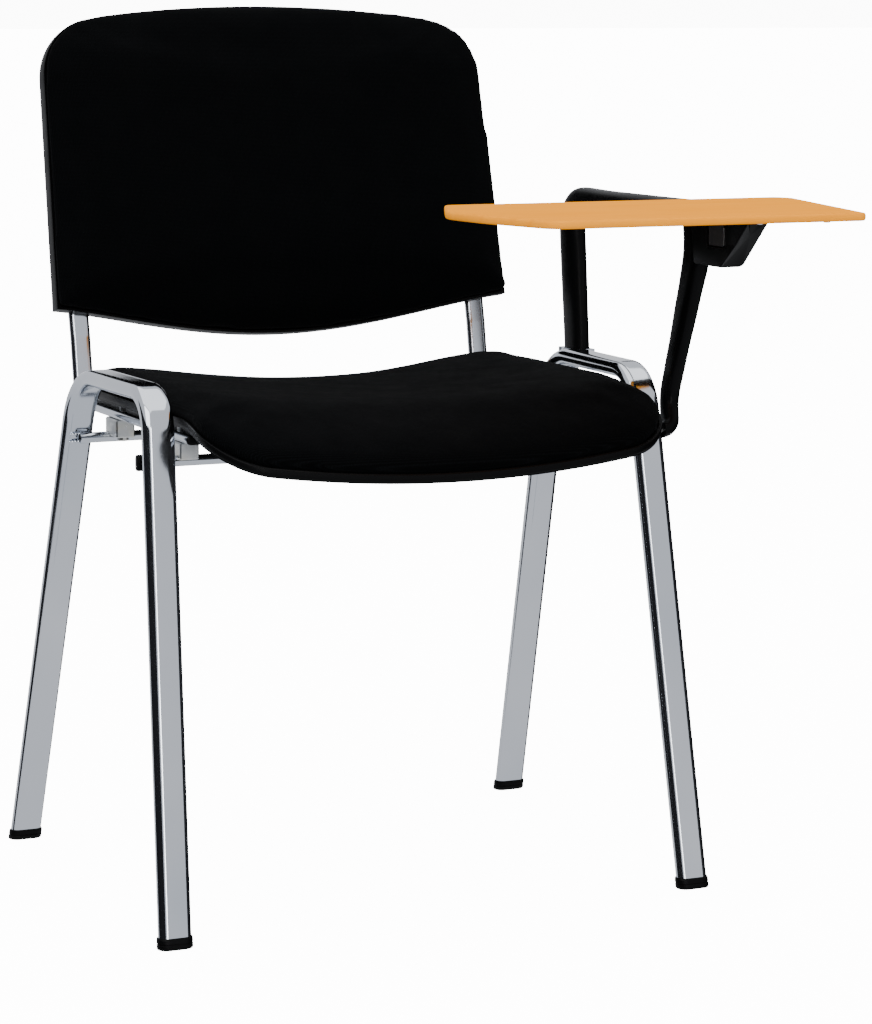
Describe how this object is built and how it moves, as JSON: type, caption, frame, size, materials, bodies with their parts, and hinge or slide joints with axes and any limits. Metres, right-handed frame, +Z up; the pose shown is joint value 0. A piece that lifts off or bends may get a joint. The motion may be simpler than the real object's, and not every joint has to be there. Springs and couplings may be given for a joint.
{
  "type": "student desk chair",
  "caption": "Four-leg stacking chair with padded seat and back, chromed tube frame, one armrest and a small writing tablet that flips up and outward.",
  "frame": {"origin": "middle of the footprint of the whole chair, tablet included, at floor level", "axes": "+Z up; the chair faces -Y; +X is the sitter's left, the side with the armrest and tablet"},
  "size_m": [0.638, 0.719, 0.8197],
  "materials": {
    "chrome": "polished chrome-plated steel tube",
    "zinc": "bright zinc-plated steel fastener or pressing",
    "black_plastic": "fine-grained satin moulded polypropylene",
    "black_fabric": "woven contract upholstery over foam",
    "plywood": "raw curved plywood, hidden inside",
    "tablet_laminate": "satin beech-coloured laminate board",
    "black_steel": "black powder-coated steel plate"
  },
  "bodies": {
    "chair": {"arm_bracket": "chrome", "arm_bracket_bolt": "zinc", "arm_foot_screw": "zinc", "arm_hook_bolt": "zinc", "armrest": "black_plastic", "back_board": "plywood", "back_cover": "black_plastic", "back_cushion": "black_fabric", "back_screw_lower_left": "zinc", "back_screw_lower_right": "zinc", "back_screw_upper_left": "zinc", "back_screw_upper_right": "zinc", "back_upright_left": "chrome", "back_upright_right": "chrome", "block_screw_lower": "zinc", "block_screw_upper": "zinc", "cross_tube_front": "chrome", "cross_tube_rear": "chrome", "foot_front_left": "black_plastic", "foot_front_right": "black_plastic", "foot_rear_left": "black_plastic", "foot_rear_right": "black_plastic", "hinge_block": "black_plastic", "hinge_pin": "zinc", "hinge_washer_front": "zinc", "hinge_washer_rear": "zinc", "saddle_front_left": "zinc", "saddle_front_right": "zinc", "saddle_rear_left": "zinc", "saddle_rear_right": "zinc", "seat_board": "plywood", "seat_bolt_front_left": "zinc", "seat_bolt_front_right": "zinc", "seat_bolt_rear_left": "zinc", "seat_bolt_rear_right": "zinc", "seat_cover": "black_plastic", "seat_cushion": "black_fabric", "seat_insert_front_left": "zinc", "seat_insert_front_right": "zinc", "seat_insert_rear_left": "zinc", "seat_insert_rear_right": "zinc", "side_frame_left": "chrome", "side_frame_right": "chrome", "tube_cap_left": "black_plastic", "tube_cap_right": "black_plastic", "upright_plug_left": "black_plastic", "upright_plug_right": "black_plastic"},
    "tablet": {"tablet_board": "tablet_laminate", "tablet_carrier": "black_steel", "tablet_screw_1": "zinc", "tablet_screw_2": "zinc", "tablet_screw_3": "zinc", "tablet_screw_4": "zinc"}
  },
  "joints": [
    {"name": "tablet_flip", "type": "hinge", "parent": "chair", "child": "tablet", "pos_m": [0.23179, -0.16373, 0.61], "axis": [0, 1, 0], "range_deg": [0, 95]}
  ]
}
